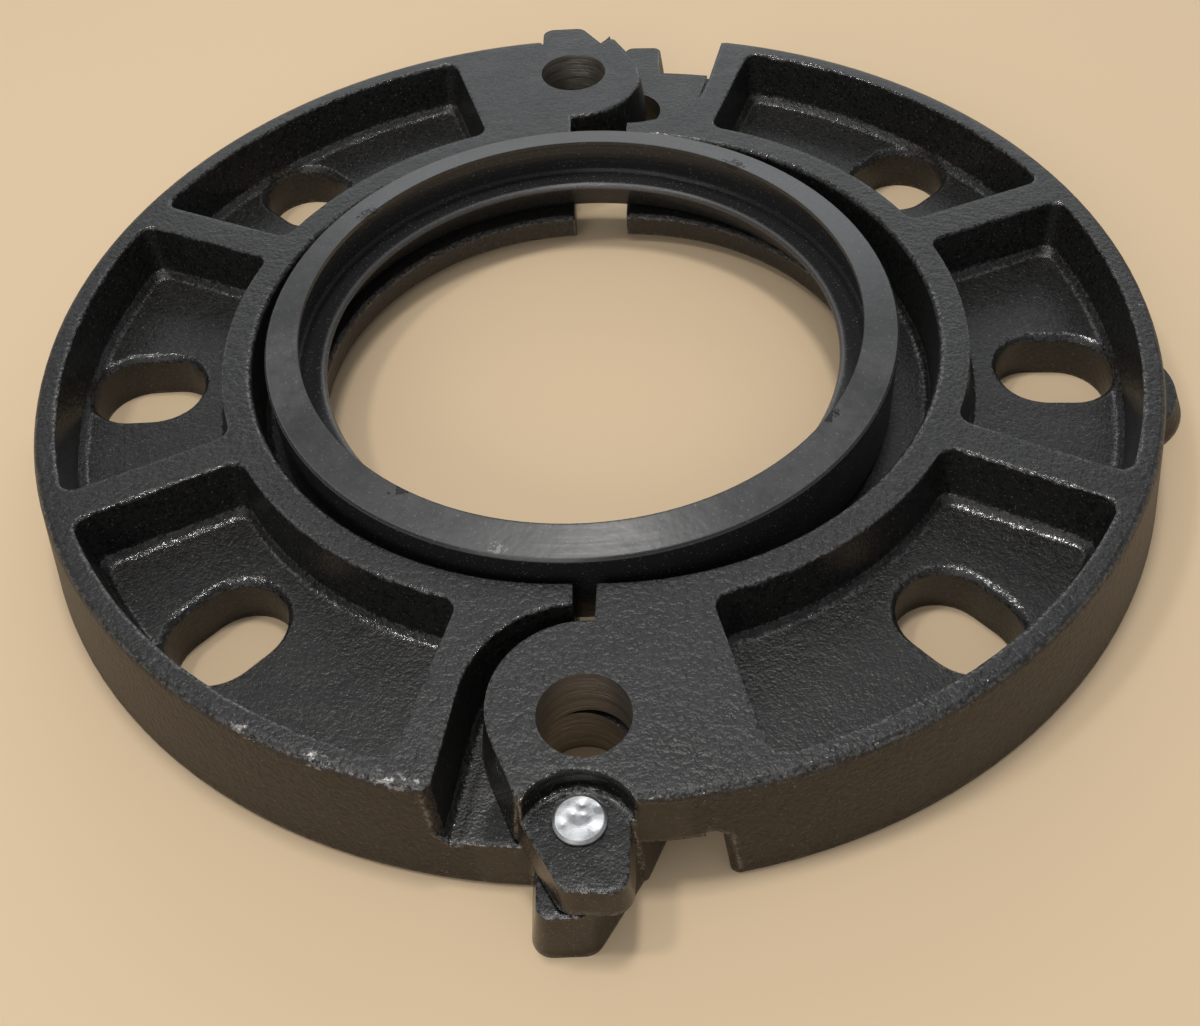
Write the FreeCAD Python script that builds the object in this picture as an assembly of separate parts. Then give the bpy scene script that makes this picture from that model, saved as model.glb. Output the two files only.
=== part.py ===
import FreeCAD, Part
import math
import os

# A hinged, split flange adapter for grooved pipe, nominal 4 inch (DN 100).
# Two equal cast halves meet in half-lap joints. A pin through the near ears makes the hinge,
# the far ears stand open, and a C-section rubber gasket lies in the seat of the left half.
# The origin is the centre of the left half's bore on the back face. +Z points to the mating
# face, the hinge is on the -Y side and the left half lies towards -X. All sizes are in mm.

Vec = FreeCAD.Vector
ORIGIN = Vec(0, 0, 0)
UP = Vec(0, 0, 1)

# Flange ring
THICKNESS = 23.1
RIM_RADIUS = 114.3
CAST_DRAFT = 7.6
RIM_ROUND = 1.5
BACK_ROUND = 0.6
END_GAP = 1.5
OVERRUN = 1.0
TWO_CHAMFERS_FROM = 1.5

# Key that enters the pipe groove, and the seat above it that holds the gasket
KEY_RADIUS = 55.6
KEY_TOP = 8.0
KEY_ROUND = 0.6
KEY_RELIEF = 2.9
KEY_RELIEF_HEIGHT = 2.6
SEAT_RADIUS = 67.2
SEAT_DRAFT = 1.6
SEAT_FOOT_ROUND = 1.2
SEAT_MOUTH_ROUND = 0.6

# Pockets that lighten each half, with a rib between neighbours
RING_WALL = 5.9
RIM_WALL = 4.2
WEB_THICKNESS = 10.7
RIB_WIDTH = 7.5
RIB_ANGLE = 24.7
LAST_POCKET_ANGLE = 73.5
POCKET_DRAFT = 8.0
POCKET_CORNER = 3.2
POCKET_FOOT_ROUND = 1.3
POCKET_CORNER_TAPER = 0.25

# Slots for the flange bolts, one in each pocket
SLOT_SPACING = 45.0
SLOT_INSET = 21.0
SLOT_WIDTH = 18.8
SLOT_RUN = 5.4
SLOT_MOUTH_ROUND = 1.1

# Half-lap tongues, with the bolt hole that both share
LAP_LEVEL = 11.0
LAP_GAP = 1.0
HOLE_INSET = 19.05
HOLE_RADIUS = 8.1
TONGUE_INSET = 2.25
TONGUE_RADIUS = 16.8
TONGUE_LEAN = 25.8
TONGUE_CLEARANCE = 3.8
LAP_WALL_LEAN = 11.0
LAP_WALL_DRAFT = 6.0
LAP_FOOT_ROUND = 1.2
LAP_GROOVE_DEPTH = 1.0
LAP_GROOVE_WIDTH = 3.0
END_CHAMFER = 1.4

# Ears at the tongue tips. A pin joins the near pair.
HINGE_INSET = 2.3
LOWER_EAR_REACH = 12.8
UPPER_EAR_REACH = 11.4
EAR_SIDE = 7.5
EAR_NECK = 0.9
EAR_SLANT_OFFSET = 7.6
EAR_SLANT_ANGLE = 57.5
EAR_CORNER = 2.2
EAR_HEIGHT = 6.0
EAR_STEP_RADIUS = 9.9
EAR_STEP_OFFSET = 4.0

# Hinge pin, a plain shank peened over at both ends
PIN_RADIUS = 4.0
PIN_CLEARANCE = 0.15
PIN_HEAD_RADIUS = 4.45
PIN_HEAD_HEIGHT = 0.9
PIN_HEAD_ROUND = 0.5
PIN_FLARE = 0.9
PIN_END_LIFT = 0.3

# Gate stub that the foundry leaves on the rim, at the middle of each half
STUB_RADIUS = 16.0
STUB_PROUD = 6.9
STUB_HEIGHT = 5.0
STUB_DRAFT = 22.0

# Gasket. Its lip is a little smaller than the key's bore, so that it presses on the pipe.
GASKET_CLEARANCE = 1.8
GASKET_SHIFT = 1.2
GASKET_LIFT = 0.3
GASKET_RIM_PROUD = 3.1
GASKET_FACE_WIDTH = 7.2
GASKET_FACE_RISE = 1.7
GASKET_FACE_EDGE = 1.0
GASKET_BACK_WALL = 5.0
GASKET_UNDERCUT_DRAFT = 25.0
GASKET_HEEL_WIDTH = 5.0
GASKET_LIP_INSET = 2.4
GASKET_LIP_RISE = 10.5
GASKET_LIP_DROP = 0.8
GASKET_CORNER = 1.2
GASKET_EDGE = 0.6

# Angle by which the right half stands open at rest
REST_OPENING = 3.78

# Sizes that follow from the ones above
RIM_TOP_RADIUS = RIM_RADIUS - THICKNESS * math.tan(math.radians(CAST_DRAFT))
LEFT_MIDDLE = 180
SEAT_TOP_RADIUS = SEAT_RADIUS + (THICKNESS - KEY_TOP) * math.tan(math.radians(SEAT_DRAFT))
POCKET_INNER = SEAT_TOP_RADIUS + RING_WALL
POCKET_OUTER = RIM_TOP_RADIUS - RIM_WALL
SLOT_CIRCLE = RIM_RADIUS - SLOT_INSET
HOLE_CIRCLE = RIM_RADIUS - HOLE_INSET
TONGUE_CENTRE = Vec(0, TONGUE_INSET - HOLE_CIRCLE, 0)
HINGE = Vec(0, HINGE_INSET - RIM_RADIUS, 0)
UPPER_LAP_LEVEL = LAP_LEVEL + LAP_GAP
EAR_TOP = UPPER_LAP_LEVEL + EAR_HEIGHT
FAR_OUT = 2 * RIM_RADIUS
SAME_POINT = 1e-6


def lean(angle, height):
    """Sideways run of a wall that leans by an angle over a height."""
    return height * math.tan(math.radians(angle))


def corner_points(before, here, after, radius):
    """Start, crown and end of the arc that rounds the corner at here."""
    back = (before - here).normalize()
    ahead = (after - here).normalize()
    half_angle = back.getAngle(ahead) / 2
    reach = radius / math.tan(half_angle)
    inward = (back + ahead).normalize()
    crown = here + inward * (radius / math.sin(half_angle) - radius)
    return here + back * reach, crown, here + ahead * reach


def joined(arcs):
    """Closed wire through arcs and sharp corners, given in order as lists of points."""
    edges = []
    for i, arc in enumerate(arcs):
        if len(arc) == 3:
            edges.append(Part.Arc(*arc).toShape())
        following = arcs[(i + 1) % len(arcs)][0]
        if arc[-1].distanceToPoint(following) > SAME_POINT:
            edges.append(Part.LineSegment(arc[-1], following).toShape())
    return Part.Wire(edges)


def rounded_wire(corners, level):
    """Closed outline through corners (x, y, radius), each rounded by its own radius."""
    points = [Vec(x, y, level) for x, y, radius in corners]
    arcs = []
    for i, here in enumerate(points):
        radius = corners[i][2]
        if radius > 0:
            arcs.append(corner_points(points[i - 1], here, points[(i + 1) % len(points)], radius))
        else:
            arcs.append([here])
    return joined(arcs)


def grown(corners, growth):
    """The outline's corners after each side of it, drawn anticlockwise, moves out by growth."""
    moved = []
    for i, (x, y, radius) in enumerate(corners):
        before = corners[i - 1]
        after = corners[(i + 1) % len(corners)]
        arriving = Vec(x - before[0], y - before[1], 0).normalize()
        leaving = Vec(after[0] - x, after[1] - y, 0).normalize()
        out_arriving = Vec(arriving.y, -arriving.x, 0)
        out_leaving = Vec(leaving.y, -leaving.x, 0)
        shift = (out_arriving + out_leaving) * (growth / (1 + out_arriving.dot(out_leaving)))
        moved.append((x + shift.x, y + shift.y, radius + growth if radius else 0))
    return moved


def drafted_block(corners, steps):
    """Solid through the outline at each step (level, growth)."""
    outlines = [rounded_wire(grown(corners, growth), level) for level, growth in steps]
    return Part.makeLoft(outlines, True, True)


def turned(section):
    """Solid of revolution about Z from section corners (radius, height, rounding).

    A corner is eased by one chamfer, or by two where its rounding is large."""
    points = [Vec(x, 0, z) for x, z, rounding in section]
    outline = []
    for i, here in enumerate(points):
        rounding = section[i][2]
        if rounding == 0:
            outline.append(here)
            continue
        start, crown, end = corner_points(points[i - 1], here, points[(i + 1) % len(points)], rounding)
        outline.append(start)
        if rounding >= TWO_CHAMFERS_FROM:
            outline.append(crown)
        outline.append(end)
    return Part.Face(Part.makePolygon(outline + outline[:1])).revolve(ORIGIN, UP, 360)


def flange_ring():
    """The whole ring before it is split: rim, gasket seat, shelf, key and key relief."""
    return turned([
        (KEY_RADIUS + KEY_RELIEF, 0, 0),
        (RIM_RADIUS, 0, BACK_ROUND),
        (RIM_TOP_RADIUS, THICKNESS, RIM_ROUND),
        (SEAT_TOP_RADIUS, THICKNESS, SEAT_MOUTH_ROUND),
        (SEAT_RADIUS, KEY_TOP, SEAT_FOOT_ROUND),
        (KEY_RADIUS, KEY_TOP, KEY_ROUND),
        (KEY_RADIUS, KEY_RELIEF_HEIGHT, 0),
    ])


def half_of(ring):
    """The part of the ring on the -X side, with half of the end gap taken off it."""
    box = Part.makeBox(FAR_OUT, 2 * FAR_OUT, 3 * THICKNESS,
                       Vec(-FAR_OUT - END_GAP / 2, -FAR_OUT, -THICKNESS))
    return ring.common(box)


def beside_radial(angle, along, across):
    """Point at a distance along the radial at an angle, offset anticlockwise across it."""
    direction = Vec(math.cos(math.radians(angle)), math.sin(math.radians(angle)), 0)
    return direction * along + Vec(-direction.y, direction.x, 0) * across


def pocket_corner(angle, side, rim_radius, radius, inward, outer):
    """Arc points that round the corner of a side line with the inner or outer pocket wall.

    The side line runs beside the radial at an angle, and inward is +1 where the pocket lies
    anticlockwise of it. The points run from the side line to the wall."""
    across = side + inward * radius
    reach = rim_radius - radius if outer else rim_radius + radius
    along = math.sqrt(reach ** 2 - across ** 2)
    centre = beside_radial(angle, along, across)
    on_side = beside_radial(angle, along, side)
    on_wall = centre * (rim_radius / reach)
    middle = centre + ((on_side - centre) + (on_wall - centre)).normalize() * radius
    return [on_side, middle, on_wall]


def pocket_outline(first, last, inset, level):
    """Pocket between two side lines (angle, offset) and two arcs, all moved in by inset."""
    inner = POCKET_INNER + inset
    outer = POCKET_OUTER - inset
    radius = POCKET_CORNER - POCKET_CORNER_TAPER * inset
    first_side = first[1] + inset
    last_side = last[1] - inset
    corners = [
        pocket_corner(first[0], first_side, inner, radius, 1, False)[::-1],
        pocket_corner(first[0], first_side, outer, radius, 1, True),
        pocket_corner(last[0], last_side, outer, radius, -1, True)[::-1],
        pocket_corner(last[0], last_side, inner, radius, -1, False),
    ]
    edges = []
    for i, corner in enumerate(corners):
        edges.append(Part.Arc(*corner).toShape())
        start = corner[-1]
        end = corners[(i + 1) % len(corners)][0]
        if i % 2 == 0:
            edges.append(Part.LineSegment(start, end).toShape())
        else:
            crown = (start + end).normalize() * start.Length
            edges.append(Part.Arc(start, crown, end).toShape())
    wire = Part.Wire(edges)
    wire.translate(UP * level)
    return wire


def pocket_cutter(first, last):
    """Drafted pocket with rounded corners and an eased foot."""
    foot = POCKET_FOOT_ROUND
    wall = lean(POCKET_DRAFT, THICKNESS - WEB_THICKNESS - foot)
    steps = [
        (WEB_THICKNESS, wall + foot),
        (WEB_THICKNESS + foot, wall),
        (THICKNESS + OVERRUN, -lean(POCKET_DRAFT, OVERRUN)),
    ]
    outlines = [pocket_outline(first, last, inset, level) for level, inset in steps]
    return Part.makeLoft(outlines, True, True)


def slot_outline(half_width):
    """Stadium outline of a slot that runs along a radius, for the middle of the left half."""
    out = SLOT_RUN / 2 + half_width
    return [
        (-SLOT_CIRCLE - out, -half_width, half_width),
        (-SLOT_CIRCLE + out, -half_width, half_width),
        (-SLOT_CIRCLE + out, half_width, half_width),
        (-SLOT_CIRCLE - out, half_width, half_width),
    ]


def slot_cutter():
    """Slot through the web, with an eased mouth. Its outer end climbs into the rim wall."""
    outline = slot_outline(SLOT_WIDTH / 2)
    through = drafted_block(outline, [(-OVERRUN, 0), (THICKNESS + OVERRUN, 0)])
    mouth = drafted_block(outline, [(WEB_THICKNESS - SLOT_MOUTH_ROUND, 0), (WEB_THICKNESS, SLOT_MOUTH_ROUND)])
    return through.fuse(mouth)


def tongue_outline():
    """Tongue at the near end, reaching past the split towards +X, drawn anticlockwise."""
    top = TONGUE_CENTRE.y + TONGUE_RADIUS
    foot = -RIM_RADIUS - 2 * OVERRUN
    root = -TONGUE_RADIUS / 2
    tilt = math.radians(TONGUE_LEAN)
    touch_x = TONGUE_RADIUS * math.cos(tilt)
    touch_y = TONGUE_CENTRE.y - TONGUE_RADIUS * math.sin(tilt)
    flank_top = touch_x + (top - touch_y) * math.tan(tilt)
    flank_foot = touch_x + (foot - touch_y) * math.tan(tilt)
    return [
        (root, top, 0),
        (root, foot, 0),
        (flank_foot, foot, 0),
        (flank_top, top, TONGUE_RADIUS),
    ]


def clearance_outline():
    """Room at the near end for the other half's tongue, drawn anticlockwise."""
    radius = TONGUE_RADIUS + TONGUE_CLEARANCE
    top = TONGUE_CENTRE.y + radius
    foot = HINGE.y - 2 * LOWER_EAR_REACH
    tilt = math.radians(LAP_WALL_LEAN)
    touch_x = -radius * math.cos(tilt)
    touch_y = TONGUE_CENTRE.y + radius * math.sin(tilt)
    wall_top = touch_x + (top - touch_y) * math.tan(tilt)
    wall_foot = touch_x + (foot - touch_y) * math.tan(tilt)
    return [
        (radius, top, 0),
        (wall_top, top, radius),
        (wall_foot, foot, 0),
        (radius, foot, 0),
    ]


def ear_outline(reach):
    """Ear beyond the rim at the near end: a straight side, a tip and a slanted side."""
    slant = math.radians(EAR_SLANT_ANGLE)
    tip = HINGE.y - reach
    root = TONGUE_CENTRE.y - HOLE_RADIUS
    neck = HINGE.y + EAR_NECK

    def slanted_side(y):
        return (EAR_SLANT_OFFSET + (y - HINGE.y) * math.cos(slant)) / math.sin(slant)

    return [
        (-EAR_SIDE, root, 0),
        (-EAR_SIDE, tip, EAR_CORNER),
        (slanted_side(tip), tip, EAR_CORNER),
        (slanted_side(neck), neck, 0),
        (EAR_SIDE / 2, root, 0),
    ]


def rim_disc(low, high):
    """Solid disc inside the rim wall between two levels, with the ring's own eased edges."""
    return turned([
        (0, low, 0),
        (RIM_RADIUS - lean(CAST_DRAFT, low), low, BACK_ROUND if low == 0 else 0),
        (RIM_RADIUS - lean(CAST_DRAFT, high), high, RIM_ROUND if high == THICKNESS else 0),
        (0, high, 0),
    ])


def tongue(low, high, ear_reach):
    """Lap tongue with the rim's own outer wall, and its ear beyond the rim."""
    draft = [(high, 0), (low, lean(CAST_DRAFT, high - low))]
    plate = drafted_block(tongue_outline(), draft).common(rim_disc(low, high))
    return plate.fuse(drafted_block(ear_outline(ear_reach), draft))


def ear_step():
    """Round recess, open to the tip, that drops the top of the upper ear below the mating face."""
    height = THICKNESS - EAR_TOP + OVERRUN
    centre = HINGE + Vec(0, -EAR_STEP_OFFSET, EAR_TOP)
    round_end = Part.makeCone(EAR_STEP_RADIUS, EAR_STEP_RADIUS + lean(CAST_DRAFT, height), height, centre)
    width = 4 * EAR_STEP_RADIUS
    to_tip = Part.makeBox(width, UPPER_EAR_REACH, height, centre - Vec(width / 2, UPPER_EAR_REACH, 0))
    return round_end.fuse(to_tip)


def lap_room(root, mouth):
    """Drafted room for the other half's tongue, with a shallow groove along the wall's foot."""
    outward = math.copysign(1, mouth - root)
    run = lean(LAP_WALL_DRAFT, abs(mouth - root))
    groove_floor = root - outward * LAP_GROOVE_DEPTH
    room = drafted_block(clearance_outline(), [
        (root, -run),
        (mouth + outward * OVERRUN, lean(LAP_WALL_DRAFT, OVERRUN)),
    ])
    groove = drafted_block(clearance_outline(), [
        (groove_floor, -run - LAP_FOOT_ROUND),
        (root, -run),
    ])
    floor = drafted_block(clearance_outline(), [
        (groove_floor, -run - LAP_GROOVE_WIDTH),
        (root, -run - LAP_GROOVE_WIDTH),
    ])
    return room.fuse(groove.cut(floor))


def eased_ends(body):
    """Chamfers the upright corners where the lap walls meet the rim."""
    corners = []
    for edge in body.Edges:
        ends = [vertex.Point for vertex in edge.Vertexes]
        if len(ends) != 2 or abs(ends[0].z - ends[1].z) < LAP_LEVEL - 2 * RIM_ROUND:
            continue
        at_rim = all(math.hypot(end.x, end.y) > RIM_TOP_RADIUS - OVERRUN for end in ends)
        if at_rim and ends[0].x < -TONGUE_RADIUS:
            corners.append(edge)
    return body.makeChamfer(END_CHAMFER, corners)


def to_far_end(shape):
    """A near-end shape laid over to the far end."""
    return shape.mirror(ORIGIN, Vec(0, 1, 0))


def gate_stub():
    """Remnant of the casting's gate, a low round bump at the foot of the rim wall."""
    centre = Vec(STUB_RADIUS - RIM_RADIUS - STUB_PROUD, 0, 0)
    bump = Part.makeCone(STUB_RADIUS, STUB_RADIUS - lean(STUB_DRAFT, STUB_HEIGHT), STUB_HEIGHT, centre)
    inside = Part.makeCylinder(POCKET_OUTER, 3 * STUB_HEIGHT, Vec(0, 0, -STUB_HEIGHT))
    return bump.cut(inside)


def segment():
    """One cast half as it leaves the mould, before the hinge holes are drilled."""
    first_rib = LEFT_MIDDLE - RIB_ANGLE
    last_rib = LEFT_MIDDLE + RIB_ANGLE
    beside_rib = RIB_WIDTH / 2
    cutters = [
        pocket_cutter((LEFT_MIDDLE - LAST_POCKET_ANGLE, 0), (first_rib, -beside_rib)),
        pocket_cutter((first_rib, beside_rib), (last_rib, -beside_rib)),
        pocket_cutter((last_rib, beside_rib), (LEFT_MIDDLE + LAST_POCKET_ANGLE, 0)),
        lap_room(LAP_LEVEL, THICKNESS),
        to_far_end(lap_room(UPPER_LAP_LEVEL, 0)),
    ]
    for turn in (-SLOT_SPACING, 0, SLOT_SPACING):
        cutters.append(slot_cutter().rotated(ORIGIN, UP, turn))
    body = eased_ends(half_of(flange_ring()).cut(cutters))
    body = body.fuse([
        tongue(0, LAP_LEVEL, LOWER_EAR_REACH),
        to_far_end(tongue(UPPER_LAP_LEVEL, THICKNESS, UPPER_EAR_REACH)),
        gate_stub(),
    ])
    hole = Part.makeCylinder(HOLE_RADIUS, 3 * THICKNESS, Vec(0, -HOLE_CIRCLE, -THICKNESS))
    body = body.cut([hole, to_far_end(hole), to_far_end(ear_step())])
    return body.removeSplitter().Solids[0]


def pin_hole(low, high):
    """Hole for the hinge pin, at the near end."""
    return Part.makeCylinder(PIN_RADIUS + PIN_CLEARANCE, high - low, HINGE + UP * low)


def pin_countersink():
    """Countersink at the back face that takes the flared end of the pin."""
    radius = PIN_RADIUS + PIN_CLEARANCE
    return Part.makeCone(radius + PIN_FLARE, radius, PIN_FLARE, HINGE)


def left_half(casting):
    """Half that stays put, drilled for the pin through its near, lower ear."""
    drilled = casting.cut([pin_hole(-OVERRUN, LAP_LEVEL + OVERRUN), pin_countersink()])
    return drilled.Solids[0]


def right_half(casting):
    """The same casting turned half a turn, drilled through its upper ear and swung open."""
    half = casting.rotated(ORIGIN, UP, 180)
    half = half.cut(pin_hole(UPPER_LAP_LEVEL - OVERRUN, THICKNESS)).Solids[0]
    return half.rotated(HINGE, UP, -REST_OPENING)


def hinge_pin():
    """Shank with a domed, peened head above the upper ear and a flared end in the back face."""
    under_head = EAR_TOP + PIN_CLEARANCE
    pin = turned([
        (0, PIN_END_LIFT, 0),
        (PIN_RADIUS + PIN_FLARE - PIN_END_LIFT, PIN_END_LIFT, 0),
        (PIN_RADIUS, PIN_FLARE, 0),
        (PIN_RADIUS, under_head, 0),
        (PIN_HEAD_RADIUS, under_head, 0),
        (PIN_HEAD_RADIUS, under_head + PIN_HEAD_HEIGHT, PIN_HEAD_ROUND),
        (0, under_head + PIN_HEAD_HEIGHT, 0),
    ])
    return pin.translated(HINGE)


def gasket():
    """C-section ring: a face that rises towards the bore, a thick back and a sealing lip."""
    bottom = KEY_TOP + GASKET_LIFT
    outer = SEAT_RADIUS - GASKET_CLEARANCE
    back = outer - GASKET_BACK_WALL
    rim = THICKNESS + GASKET_RIM_PROUD
    mouth = outer - GASKET_FACE_WIDTH
    crest = rim + GASKET_FACE_RISE
    edge = crest - GASKET_FACE_EDGE
    lip = KEY_RADIUS - GASKET_LIP_INSET
    lip_top = bottom + GASKET_LIP_RISE
    ring = turned([
        (outer - GASKET_HEEL_WIDTH, bottom, 0),
        (outer, bottom, GASKET_CORNER),
        (outer, rim, GASKET_EDGE),
        (mouth, crest, 0),
        (mouth, edge, 0),
        (back, edge - lean(GASKET_UNDERCUT_DRAFT, back - mouth), 0),
        (back, lip_top - GASKET_LIP_DROP, 0),
        (lip, lip_top, GASKET_EDGE),
    ])
    return ring.translated(Vec(GASKET_SHIFT, 0, 0))


def main():
    os.makedirs("parts", exist_ok=True)
    casting = segment()
    pieces = {
        "left_segment": left_half(casting),
        "right_segment": right_half(casting),
        "gasket": gasket(),
        "hinge_pin": hinge_pin(),
    }
    for name, piece in pieces.items():
        piece.exportStep("parts/" + name + ".step")
        print(name, piece.ShapeType, piece.isValid(), len(piece.Solids), round(piece.Volume, 1))


main()
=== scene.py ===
import math

import bmesh
import bpy
from mathutils import Matrix, Vector

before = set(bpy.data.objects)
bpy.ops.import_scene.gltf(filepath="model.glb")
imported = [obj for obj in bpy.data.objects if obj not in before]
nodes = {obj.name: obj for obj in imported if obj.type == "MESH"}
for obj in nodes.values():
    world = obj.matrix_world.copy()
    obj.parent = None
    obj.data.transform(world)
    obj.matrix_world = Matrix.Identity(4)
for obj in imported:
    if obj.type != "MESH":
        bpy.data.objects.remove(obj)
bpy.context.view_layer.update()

# Sizes of the adapter in metres, in the frame's own coordinates
TOP_FACE = 0.0231
RIM_RADIUS = 0.1143
HINGE = (0.0, -0.112, 0.0)
REST_OPENING = math.radians(3.78)
EAR_RADIUS = 0.0190
EAR_CORE = 0.0160
BOLT_HOLE = 0.09525
BOLT_HOLE_RADIUS = 0.0081
GASKET_CENTRE = (0.0012, 0.0, 0.0)
GASKET_OUTSIDE = 0.0654
GASKET_HOLLOW = 0.0604
GASKET_MOUTH = 0.0582
GASKET_LIP = 0.0532
GASKET_LIP_TOP = 0.0188
GASKET_RIM = 0.0262
GASKET_CREST = 0.0279

# Radii that the look rounds edges with
SOFT_EDGE = (0.0008, 0.0017)
DRILLED_EDGE = 0.00015
GASKET_EDGE = 0.0005
GASKET_INSIDE_EDGE = 0.0016
PIN_EDGE = 0.0003
BEVEL_SAMPLES = 4

# How far a point's place is stretched, so that its noise comes out as rings or streaks
DRILL_RINGS = (60, 60, 3400)
MOULD_RINGS = (8, 8, 1500)
RADIAL_STREAKS = 40.0

ENAMEL = (0.0125, 0.0118, 0.0110, 1)
DUSTY_ENAMEL = (0.0165, 0.0165, 0.0165, 1)
EAR_ENAMEL = (0.004, 0.0038, 0.0035, 1)
PAINTED_FLOOR_REFLECTION = (0.0190, 0.0105, 0.0040, 1)
PAINTED_PIT_SHADE = (0.002, 0.0019, 0.0018, 1)
GRIT = (0.14, 0.135, 0.125, 1)
WORN_ENAMEL = (0.11, 0.108, 0.104, 1)
BRIGHT_EDGE = (0.30, 0.295, 0.29, 1)
CHIPPED_IRON = (0.36, 0.355, 0.345, 1)
DRILLED_DARK = (0.23, 0.21, 0.185, 1)
DRILLED_LIGHT = (0.40, 0.365, 0.32, 1)

RUBBER = (0.0210, 0.0210, 0.0215, 1)
DUSTY_RUBBER = (0.057, 0.0575, 0.0585, 1)
RUBBER_HAZE = (0.14, 0.14, 0.138, 1)
LINT = (0.17, 0.17, 0.165, 1)
PAINTED_EDGE_HIGHLIGHT = (0.19, 0.19, 0.19, 1)
CHALK = (0.30, 0.30, 0.295, 1)
PAINTED_RUBBER_SHADE = (0.005, 0.005, 0.005, 1)

ZINC_DARK = (0.36, 0.375, 0.385, 1)
ZINC_LIGHT = (0.50, 0.515, 0.525, 1)
ZINC_EDGE = (0.62, 0.63, 0.64, 1)

FLOOR_COLOUR = (0.76, 0.58, 0.38, 1)
SKY_COLOUR = (0.95, 0.97, 1.0, 1)
SKY_STRENGTH = 0.34
WHITE = (1, 1, 1)
WARM_WHITE = (1.0, 0.98, 0.95)
COOL_WHITE = (0.95, 0.98, 1.0)

# The photo's camera, fitted to the adapter's circles
CAMERA_PLACE = (0.01183, -0.23201, 0.23305)
CAMERA_PITCH = math.radians(46.17)
CAMERA_YAW = math.radians(-2.01)
CAMERA_ROLL = math.radians(-4.04)
CAMERA_LENS = 44.81
CAMERA_SHIFT = -0.0692


def swung(point):
    """Where a point of the closed right half is at rest."""
    hinge = Vector(HINGE)
    return tuple(Matrix.Rotation(-REST_OPENING, 3, "Z") @ (Vector(point) - hinge) + hinge)


class Graph:
    """A node tree with short calls to add and join nodes."""

    def __init__(self, tree):
        self.tree = tree
        self.tree.nodes.clear()

    def add(self, kind, **settings):
        node = self.tree.nodes.new(kind)
        for name, value in settings.items():
            setattr(node, name, value)
        return node

    def feed(self, socket, value):
        if isinstance(value, bpy.types.NodeSocket):
            self.tree.links.new(value, socket)
        else:
            socket.default_value = value

    def math(self, operation, first, second=0.0, third=0.0):
        node = self.add("ShaderNodeMath", operation=operation)
        for socket, value in zip(node.inputs, (first, second, third)):
            self.feed(socket, value)
        return node.outputs[0]

    def times(self, first, *others):
        for other in others:
            first = self.math("MULTIPLY", first, other)
        return first

    def either(self, first, *others):
        for other in others:
            first = self.math("MAXIMUM", first, other)
        return first

    def outside_of(self, mask):
        return self.math("SUBTRACT", 1.0, mask)

    def vector_math(self, operation, first, second, output="Vector"):
        node = self.add("ShaderNodeVectorMath", operation=operation)
        self.feed(node.inputs[0], first)
        self.feed(node.inputs[1], second)
        return node.outputs[output]

    def split(self, vector):
        node = self.add("ShaderNodeSeparateXYZ")
        self.feed(node.inputs[0], vector)
        return node.outputs

    def from_upright_axis(self, place, centre):
        """Distance from the upright axis through a centre that lies on the back face."""
        flat_place = self.vector_math("MULTIPLY", place, (1, 1, 0))
        return self.vector_math("DISTANCE", flat_place, centre, "Value")

    def ramp(self, value, low, high, out_low=0.0, out_high=1.0):
        node = self.add("ShaderNodeMapRange", interpolation_type="SMOOTHSTEP")
        for socket, number in zip(node.inputs, (value, low, high, out_low, out_high)):
            self.feed(socket, number)
        return node.outputs[0]

    def noise(self, vector, scale, detail, roughness, distortion=0.0):
        node = self.add("ShaderNodeTexNoise")
        self.feed(node.inputs["Vector"], vector)
        self.feed(node.inputs["Scale"], scale)
        self.feed(node.inputs["Detail"], detail)
        self.feed(node.inputs["Roughness"], roughness)
        self.feed(node.inputs["Distortion"], distortion)
        return node.outputs["Fac"]

    def cells(self, vector, scale, smoothness):
        node = self.add("ShaderNodeTexVoronoi", feature="SMOOTH_F1")
        self.feed(node.inputs["Vector"], vector)
        self.feed(node.inputs["Scale"], scale)
        self.feed(node.inputs["Smoothness"], smoothness)
        return node.outputs["Distance"]

    def mix(self, kind, factor, first, second):
        node = self.add("ShaderNodeMix", data_type=kind)
        self.feed(node.inputs["Factor"], factor)
        self.feed(node.inputs["A"], first)
        self.feed(node.inputs["B"], second)
        return node.outputs["Result"]

    def mix_colour(self, factor, first, second):
        return self.mix("RGBA", factor, first, second)

    def mix_value(self, factor, first, second):
        return self.mix("FLOAT", factor, first, second)

    def bump(self, height, distance, strength, normal):
        node = self.add("ShaderNodeBump")
        self.feed(node.inputs["Strength"], strength)
        self.feed(node.inputs["Distance"], distance)
        self.feed(node.inputs["Height"], height)
        self.feed(node.inputs["Normal"], normal)
        return node.outputs["Normal"]

    def rounded_normal(self, radius):
        node = self.add("ShaderNodeBevel", samples=BEVEL_SAMPLES)
        self.feed(node.inputs["Radius"], radius)
        return node.outputs["Normal"]

    def place_group(self, tree, **values):
        """Places a node group and feeds its named inputs."""
        node = self.add("ShaderNodeGroup", node_tree=tree)
        for name, value in values.items():
            self.feed(node.inputs[name], value)
        return node.outputs


def shader_group(name, inputs, outputs):
    """An empty node group with named sockets: its tree, its graph, its inputs and its outputs."""
    tree = bpy.data.node_groups.new(name, "ShaderNodeTree")
    for direction, sockets in (("INPUT", inputs), ("OUTPUT", outputs)):
        for label, kind in sockets.items():
            tree.interface.new_socket(label, in_out=direction, socket_type="NodeSocket" + kind)
    graph = Graph(tree)
    return tree, graph, graph.add("NodeGroupInput").outputs, graph.add("NodeGroupOutput").inputs


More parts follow.
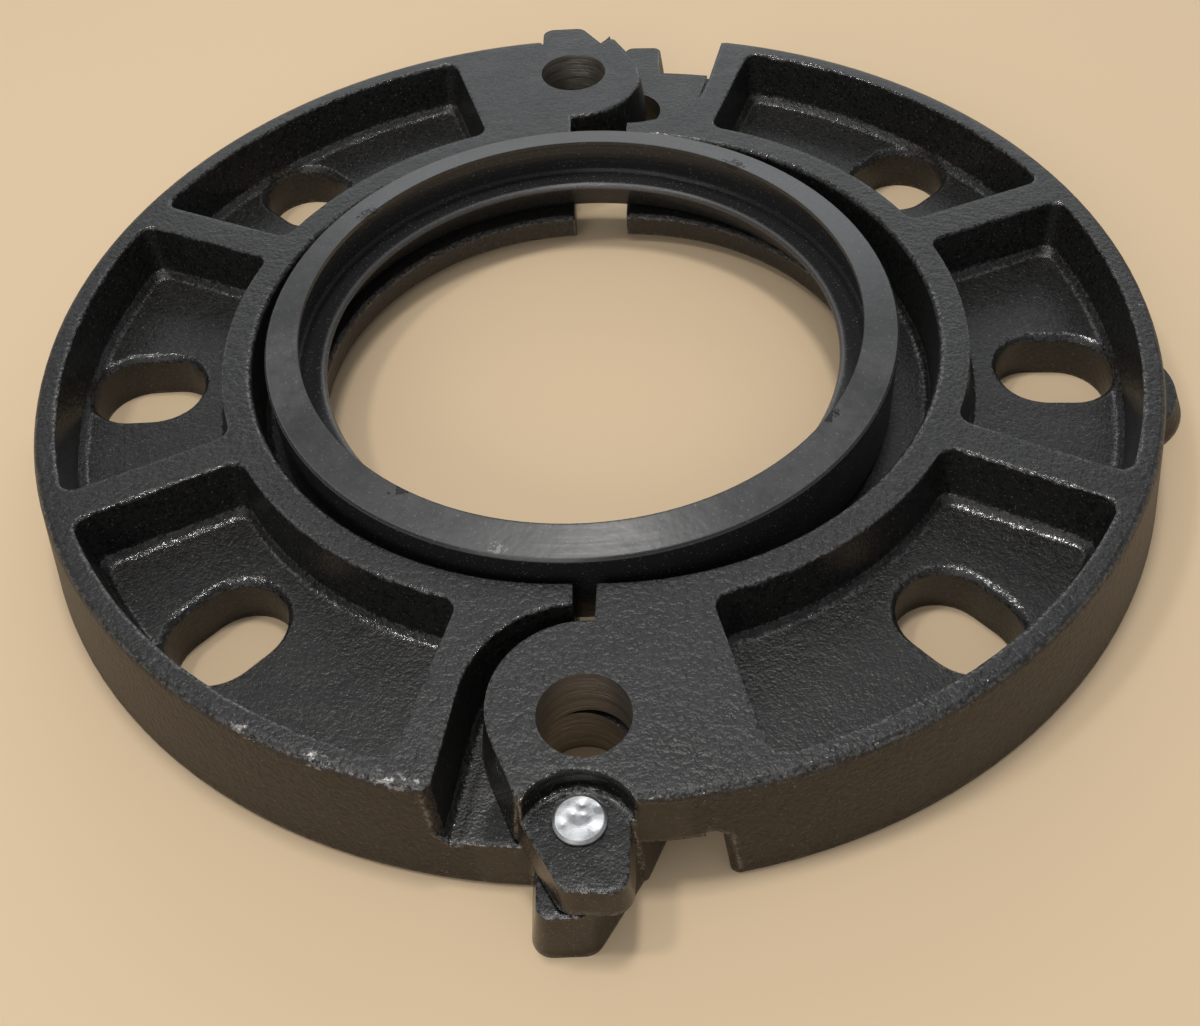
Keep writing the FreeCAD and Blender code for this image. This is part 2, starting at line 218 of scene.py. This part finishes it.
def edge_group():
    """How far the rounded normal turns from the flat one: 1 on an edge, 0 away from it."""
    tree, g, given, result = shader_group("Edge", {"Rounded": "Vector", "Flat": "Vector"}, {"Edge": "Float"})
    agree = g.vector_math("DOT_PRODUCT", given["Rounded"], given["Flat"], "Value")
    g.feed(result["Edge"], g.ramp(agree, 0.995, 0.90))
    return tree


def cast_skin_group():
    """Height of sand-cast iron under thick enamel: slow swells, ripples, orange peel and sand grain."""
    tree, g, given, result = shader_group(
        "Cast skin", {"Place": "Vector", "Ripples": "Float", "Peel": "Float", "Grain": "Float"},
        {"Swell": "Float", "Height": "Float", "Pits": "Float"})
    swell = g.noise(given["Place"], 110, 2.0, 0.5)
    ripple = g.noise(given["Place"], 420, 1.0, 0.5, 0.3)
    peel = g.noise(given["Place"], 1000, 2.0, 0.6)
    grain = g.noise(given["Place"], 2100, 1.0, 0.5)
    height = g.math("MULTIPLY_ADD", grain, given["Grain"], g.times(peel, given["Peel"]))
    height = g.math("MULTIPLY_ADD", ripple, given["Ripples"], height)
    g.feed(result["Swell"], swell)
    g.feed(result["Height"], height)
    # Pits marks the low spots of the peel, where the enamel paints shade.
    g.feed(result["Pits"], g.ramp(peel, 0.52, 0.38))
    return tree


def spot_group():
    """A spot about a centre, ragged for chips and nicks and as a soft halo for haze."""
    tree, g, given, result = shader_group(
        "Ragged spot", {"Place": "Vector", "Centre": "Vector", "Size": "Float", "Grain": "Float"},
        {"Spot": "Float", "Halo": "Float"})
    away = g.vector_math("DISTANCE", given["Place"], given["Centre"], "Value")
    share = g.math("DIVIDE", away, given["Size"])
    ragged = g.ramp(g.noise(given["Place"], given["Grain"], 3.0, 0.6), 0.3, 0.7, -0.7, 0.7)
    g.feed(result["Spot"], g.ramp(g.math("ADD", share, ragged), 0.95, 0.65))
    g.feed(result["Halo"], g.ramp(share, 1.0, 0.1))
    return tree


def drilled_wall_group():
    """Bare wall of a drilled hole along Z, with the drill's fine rings as a height."""
    tree, g, given, result = shader_group(
        "Drilled wall", {"Place": "Vector", "Flat": "Vector", "Centre": "Vector", "Radius": "Float"},
        {"Wall": "Float", "Near": "Float", "Rings": "Float"})
    outside = g.math("SUBTRACT", g.from_upright_axis(given["Place"], given["Centre"]), given["Radius"])
    steep = g.ramp(g.math("ABSOLUTE", g.split(given["Flat"])["Z"]), 0.5, 0.2)
    stretched = g.vector_math("MULTIPLY", given["Place"], DRILL_RINGS)
    g.feed(result["Wall"], g.times(g.ramp(outside, 0.0005, 0.0002), steep))
    g.feed(result["Near"], g.ramp(outside, 0.0022, 0.0010))
    g.feed(result["Rings"], g.noise(stretched, 1.0, 3.0, 0.7))
    return tree


edge_tree = edge_group()
cast_skin_tree = cast_skin_group()
spot_tree = spot_group()
drilled_wall_tree = drilled_wall_group()


def new_material(name):
    """A material with one Principled shader: the material, its graph and the shader's inputs."""
    material = bpy.data.materials.new(name)
    material.use_nodes = True
    graph = Graph(material.node_tree)
    out = graph.add("ShaderNodeOutputMaterial")
    surface = graph.add("ShaderNodeBsdfPrincipled")
    graph.feed(out.inputs["Surface"], surface.outputs[0])
    return material, graph, surface.inputs


def here(graph):
    """The point's place on the object, and the mesh's own normal there."""
    place = graph.add("ShaderNodeTexCoord").outputs["Object"]
    return place, graph.add("ShaderNodeNewGeometry").outputs["True Normal"]


def spots(graph, place, marks, output="Spot"):
    """All the spots of a list (centre, size, grain), as one mask."""
    masks = []
    for centre, size, grain in marks:
        masks.append(graph.place_group(spot_tree, Place=place, Centre=centre, Size=size, Grain=grain)[output])
    return graph.either(*masks)


def on_gasket(angle, radius, height):
    """A point on the gasket by its angle in degrees and its radius."""
    turn = math.radians(angle)
    return (GASKET_CENTRE[0] + radius * math.cos(turn), radius * math.sin(turn), height)


def cast_enamel(name, centre, hole_centres, chips):
    """Black enamel over a sand casting: dusty on the top lands, rubbed at the edges, bare in the holes, with
    a painted reflection of the floor on the outer wall and painted shade in the pits.
    """
    material, g, surface = new_material(name)
    place, flat = here(g)
    upward = g.split(flat)["Z"]
    height_here = g.split(place)["Z"]
    from_axis = g.from_upright_axis(place, centre)

    holes = []
    for hole_centre in hole_centres:
        holes.append(g.place_group(drilled_wall_tree, Place=place, Flat=flat, Centre=hole_centre,
                                   Radius=BOLT_HOLE_RADIUS))
    bare = g.either(*[hole["Wall"] for hole in holes])
    near_hole = g.either(*[hole["Near"] for hole in holes])
    painted = g.outside_of(bare)

    soft = g.ramp(g.noise(place, 260, 2.0, 0.6), 0.35, 0.65, *SOFT_EDGE)
    rounded = g.rounded_normal(g.mix_value(near_hole, soft, DRILLED_EDGE))
    edge = g.place_group(edge_tree, Rounded=rounded, Flat=flat)["Edge"]

    # Parts of the casting
    high = g.ramp(height_here, TOP_FACE - 0.0022, TOP_FACE - 0.0008)
    land = g.times(high, g.ramp(upward, 0.80, 0.97))
    outer_wall = g.times(g.ramp(from_axis, RIM_RADIUS - 0.0040, RIM_RADIUS - 0.0034),
                         g.ramp(g.math("ABSOLUTE", upward), 0.6, 0.4))
    outer_edge = g.times(g.ramp(from_axis, RIM_RADIUS - 0.0058, RIM_RADIUS - 0.0044),
                         g.ramp(height_here, TOP_FACE - 0.0034, TOP_FACE - 0.0020))
    ear = g.times(g.ramp(g.from_upright_axis(place, HINGE), EAR_RADIUS, EAR_CORE),
                  g.ramp(height_here, TOP_FACE - 0.0008, TOP_FACE - 0.0018))

    # Dust, grit and wear
    cloud = g.noise(place, 85, 4.0, 0.65)
    film = g.times(land, g.ramp(cloud, 0.35, 0.65, 0.4, 1.0), g.ramp(edge, 0.5, 0.0))
    speck = g.times(g.ramp(g.noise(place, 2300, 1.0, 0.5), 0.68, 0.73), 0.6)
    rub = g.ramp(g.noise(place, 700, 3.0, 0.65), 0.50, 0.60)
    worn_edge = g.times(edge, high, rub)
    bright = g.times(edge, g.ramp(g.noise(place, 1300, 2.0, 0.6), 0.44, 0.57), painted)
    chipped = g.times(spots(g, place, chips), outer_edge, rub, g.ramp(upward, 0.3, 0.6))

    # The lands are rougher at the hinge than at the far joint
    land_ripples = g.ramp(g.split(place)["Y"], 0.085, -0.03, 0.35, 1.15)
    land_peel = g.times(land_ripples, 1.3)
    ripples = g.mix_value(ear, g.mix_value(land, 0.22, land_ripples), 0.12)
    peel = g.mix_value(ear, g.mix_value(outer_wall, g.mix_value(land, 0.75, land_peel), 2.0), 0.25)
    grain = g.mix_value(g.either(land, ear, outer_wall), 0.48, 0.15)
    skin = g.place_group(cast_skin_tree, Place=place, Ripples=ripples, Peel=peel, Grain=grain)
    rings = g.ramp(g.either(*[hole["Rings"] for hole in holes]), 0.35, 0.65)

    colour = g.mix_colour(film, ENAMEL, DUSTY_ENAMEL)
    # The outer wall's brown is a painted reflection of the warm floor.
    for mask, top_colour in ((g.times(ear, 0.5), EAR_ENAMEL), (g.times(outer_wall, 0.9), PAINTED_FLOOR_REFLECTION),
                             # Painted shade darkens the pits of the peel.
                             (g.times(skin["Pits"], 0.8), PAINTED_PIT_SHADE), (speck, GRIT),
                             (g.times(worn_edge, 0.6), WORN_ENAMEL), (g.times(bright, 0.8), BRIGHT_EDGE),
                             (g.times(chipped, 0.9), CHIPPED_IRON),
                             (bare, g.mix_colour(rings, DRILLED_DARK, DRILLED_LIGHT))):
        colour = g.mix_colour(mask, colour, top_colour)

    roughness = g.ramp(cloud, 0.3, 0.7, 0.33, 0.41)
    for mask, top_roughness in ((outer_wall, 0.50), (ear, 0.22), (edge, 0.13), (film, 0.42), (speck, 0.50),
                                (chipped, 0.28), (bare, 0.38)):
        roughness = g.mix_value(mask, roughness, top_roughness)

    normal = g.bump(skin["Swell"], 0.0004, 0.5, rounded)
    normal = g.bump(g.times(skin["Height"], painted), 0.00016, 1.0, normal)
    normal = g.bump(g.times(rings, bare), 0.00006, 1.0, normal)

    g.feed(surface["Base Color"], colour)
    g.feed(surface["Metallic"], g.either(g.times(bare, 0.9), g.times(bright, 0.85), g.times(chipped, 0.5)))
    g.feed(surface["Roughness"], roughness)
    g.feed(surface["Normal"], normal)
    return material


def gasket_rubber():
    """Moulded black rubber: dusty and scuffed on its face, shiny inside, with a painted highlight at its
    outer edge and lip and painted shade at its inner edge and nicks.
    """
    material, g, surface = new_material("Dusty rubber")
    place, flat = here(g)
    x_here, y_here, height_here = g.split(place)
    from_axis = g.from_upright_axis(place, GASKET_CENTRE)

    inside = g.times(g.ramp(from_axis, GASKET_HOLLOW + 0.0018, GASKET_HOLLOW + 0.0014),
                     g.ramp(height_here, GASKET_CREST - 0.0012, GASKET_CREST - 0.0016))
    rounded = g.rounded_normal(g.mix_value(inside, GASKET_EDGE, GASKET_INSIDE_EDGE))
    edge = g.place_group(edge_tree, Rounded=rounded, Flat=flat)["Edge"]
    face = g.times(g.ramp(height_here, GASKET_RIM - 0.0003, GASKET_RIM + 0.0001),
                   g.ramp(g.split(rounded)["Z"], 0.80, 0.93))
    outer_edge = g.times(edge, g.ramp(from_axis, GASKET_OUTSIDE - 0.0018, GASKET_OUTSIDE - 0.0012),
                         g.ramp(height_here, GASKET_RIM - 0.0014, GASKET_RIM - 0.0006))
    inner_edge = g.times(edge, g.ramp(from_axis, GASKET_MOUTH + 0.0010, GASKET_MOUTH + 0.0005),
                         g.ramp(height_here, GASKET_RIM, GASKET_RIM + 0.0006))
    lip = g.times(edge, g.ramp(from_axis, GASKET_LIP + 0.0024, GASKET_LIP + 0.0016),
                  g.ramp(height_here, GASKET_LIP_TOP - 0.0014, GASKET_LIP_TOP - 0.0008))

    cloud = g.noise(place, 70, 4.0, 0.65)
    mottle = g.noise(place, 330, 4.0, 0.7)
    streak_place = g.add("ShaderNodeCombineXYZ")
    for socket, value in zip(streak_place.inputs, (g.times(from_axis, RADIAL_STREAKS), x_here, y_here)):
        g.feed(socket, value)
    streak = g.noise(streak_place.outputs[0], 45, 3.0, 0.6)
    dust = g.times(face, g.ramp(cloud, 0.3, 0.7, 0.55, 1.0), g.ramp(mottle, 0.3, 0.7, 0.7, 1.0))
    haze = g.times(face, g.ramp(mottle, 0.25, 0.75, 0.3, 1.0), spots(g, place, [
        (on_gasket(-172, 0.0600, GASKET_RIM), 0.0110, 300),
        (on_gasket(-162, 0.0600, GASKET_RIM), 0.0120, 300),
        (on_gasket(-48, 0.0600, GASKET_RIM), 0.0160, 300),
        (on_gasket(-35, 0.0605, GASKET_RIM), 0.0120, 300),
        (on_gasket(-18, 0.0610, GASKET_RIM), 0.0100, 300),
    ], "Halo"))
    chalk = g.times(face, spots(g, place, [(on_gasket(-103.7, 0.0640, GASKET_RIM), 0.0013, 1100)]))
    nicks = spots(g, place, [
        (on_gasket(143.6, 0.0586, GASKET_CREST), 0.0021, 700),
        (on_gasket(53.0, 0.0586, GASKET_CREST), 0.0020, 700),
        (on_gasket(-35.5, 0.0585, GASKET_CREST), 0.0017, 700),
        (on_gasket(-125.0, 0.0585, GASKET_CREST), 0.0017, 700),
    ])
    speck = g.ramp(g.noise(place, 1900, 1.0, 0.5), 0.67, 0.72)

    colour = g.mix_colour(dust, RUBBER, DUSTY_RUBBER)
    for mask, top_colour in ((g.times(haze, 0.28), RUBBER_HAZE), (g.times(speck, 0.5), LINT),
                             # Painted highlight on the outer edge and the lip.
                             (g.either(g.times(outer_edge, 0.8), g.times(lip, 0.6)), PAINTED_EDGE_HIGHLIGHT),
                             (g.times(chalk, 0.8), CHALK),
                             # Painted shade on the inner edge and in the nicks.
                             (g.either(g.times(inner_edge, 0.5), nicks), PAINTED_RUBBER_SHADE)):
        colour = g.mix_colour(mask, colour, top_colour)
    roughness = g.mix_value(dust, g.mix_value(inner_edge, 0.26, 0.60), g.ramp(streak, 0.3, 0.7, 0.36, 0.43))

    moulded = g.noise(g.vector_math("MULTIPLY", place, MOULD_RINGS), 1.0, 2.0, 0.6)
    normal = g.bump(cloud, 0.0005, 0.4, rounded)
    normal = g.bump(mottle, 0.00003, 0.8, normal)
    normal = g.bump(g.times(inside, moulded), 0.00008, 0.6, normal)
    normal = g.bump(nicks, -0.0004, 1.0, normal)

    g.feed(surface["Base Color"], colour)
    g.feed(surface["Roughness"], g.mix_value(g.either(haze, chalk), roughness, 0.62))
    g.feed(surface["Normal"], normal)
    return material


def zinc_pin():
    """Zinc plate on the pin, with the dents of peening on its head."""
    material, g, surface = new_material("Zinc plate")
    place, flat = here(g)
    rounded = g.rounded_normal(PIN_EDGE)
    edge = g.place_group(edge_tree, Rounded=rounded, Flat=flat)["Edge"]
    cloud = g.noise(place, 500, 3.0, 0.6)
    colour = g.mix_colour(g.ramp(cloud, 0.35, 0.65), ZINC_DARK, ZINC_LIGHT)
    normal = g.bump(g.cells(place, 400, 0.9), 0.0009, 0.5, rounded)
    normal = g.bump(g.noise(place, 2200, 2.0, 0.5), 0.00003, 0.6, normal)
    g.feed(surface["Base Color"], g.mix_colour(g.times(edge, 0.5), colour, ZINC_EDGE))
    g.feed(surface["Metallic"], 0.85)
    g.feed(surface["Roughness"], g.ramp(cloud, 0.35, 0.65, 0.36, 0.50))
    g.feed(surface["Normal"], normal)
    return material


def dress(node_name, material):
    piece = nodes[node_name]
    piece.data.materials.clear()
    piece.data.materials.append(material)


# Chips in the enamel (centre, size, grain), most of them on the outer edge of the top face
CHIP_HEIGHT = TOP_FACE - 0.0008
left_chips = [
    ((-0.0561, -0.0953, CHIP_HEIGHT), 0.0030, 420),
    ((-0.0419, -0.1027, CHIP_HEIGHT), 0.0030, 420),
    ((-0.0300, -0.1066, CHIP_HEIGHT), 0.0036, 420),
    ((-0.0036, 0.0709, TOP_FACE), 0.0011, 900),
]
right_chips = [
    ((0.1165, -0.0010, CHIP_HEIGHT), 0.0012, 900),
    ((0.0488, -0.1015, CHIP_HEIGHT), 0.0014, 900),
]
left_centre = (0, 0, 0)
left_holes = [(0, -BOLT_HOLE, 0), (0, BOLT_HOLE, 0)]
right_holes = [swung(hole_centre) for hole_centre in left_holes]
left_enamel = cast_enamel("Black enamel left", left_centre, left_holes, left_chips)
right_enamel = cast_enamel("Black enamel right", swung(left_centre), right_holes, right_chips)
dress("left_segment", left_enamel)
dress("right_segment", right_enamel)
dress("gasket", gasket_rubber())
dress("hinge_pin", zinc_pin())


def floor():
    mesh = bpy.data.meshes.new("Floor")
    work = bmesh.new()
    bmesh.ops.create_grid(work, x_segments=1, y_segments=1, size=6.0)
    work.to_mesh(mesh)
    work.free()
    sheet = bpy.data.objects.new("Floor", mesh)
    bpy.context.scene.collection.objects.link(sheet)
    material, g, surface = new_material("Pale floor")
    g.feed(surface["Base Color"], FLOOR_COLOUR)
    g.feed(surface["Roughness"], 0.85)
    g.feed(surface["Specular IOR Level"], 0.2)
    mesh.materials.append(material)


def soft_light(name, place, target, size, power, colour):
    data = bpy.data.lights.new(name, "AREA")
    data.shape = "RECTANGLE"
    data.size, data.size_y = size
    data.energy = power
    data.color = colour
    lamp = bpy.data.objects.new(name, data)
    lamp.location = place
    lamp.rotation_euler = (Vector(target) - Vector(place)).to_track_quat("-Z", "Y").to_euler()
    bpy.context.scene.collection.objects.link(lamp)


def surroundings():
    world = bpy.data.worlds.new("Studio")
    bpy.context.scene.world = world
    world.use_nodes = True
    g = Graph(world.node_tree)
    out = g.add("ShaderNodeOutputWorld")
    shade = g.add("ShaderNodeBackground")
    g.feed(shade.inputs["Color"], SKY_COLOUR)
    g.feed(shade.inputs["Strength"], SKY_STRENGTH)
    g.feed(out.inputs["Surface"], shade.outputs[0])


def camera():
    level_share = math.cos(CAMERA_PITCH)
    forward = Vector((math.sin(CAMERA_YAW) * level_share, math.cos(CAMERA_YAW) * level_share,
                      -math.sin(CAMERA_PITCH)))
    level = Vector((math.cos(CAMERA_YAW), -math.sin(CAMERA_YAW), 0))
    raised = level.cross(forward)
    right = math.cos(CAMERA_ROLL) * level + math.sin(CAMERA_ROLL) * raised
    up = math.cos(CAMERA_ROLL) * raised - math.sin(CAMERA_ROLL) * level
    data = bpy.data.cameras.new("Photo camera")
    data.sensor_width = 36
    data.lens = CAMERA_LENS
    data.shift_y = CAMERA_SHIFT
    data.clip_start = 0.005
    eye = bpy.data.objects.new("Photo camera", data)
    turn = Matrix((right, up, -forward)).transposed().to_4x4()
    eye.matrix_world = Matrix.Translation(CAMERA_PLACE) @ turn
    bpy.context.scene.collection.objects.link(eye)
    bpy.context.scene.camera = eye


floor()
for lamp_name, *lamp_settings in (
        ("Ceiling panel", (-0.05, 0.10, 1.10), (0, 0, 0), (0.8, 0.6), 0.9, WHITE),
        ("Overhead lamp", (0.0, 0.07, 0.90), (0, 0, 0), (0.12, 0.12), 2.3, WARM_WHITE),
        ("Left lamp", (-0.32, -0.05, 0.82), (0, 0, 0), (0.09, 0.09), 1.2, WARM_WHITE),
        ("Front panel", (-0.30, -0.85, 0.55), (0, 0, 0), (0.6, 0.4), 2.0, WARM_WHITE),
        ("Back panel", (0.1, 1.5, 0.70), (0, 0, 0.05), (1.6, 0.9), 6.2, COOL_WHITE)):
    soft_light(lamp_name, *lamp_settings)
surroundings()
camera()
bpy.context.scene.view_settings.view_transform = "Standard"
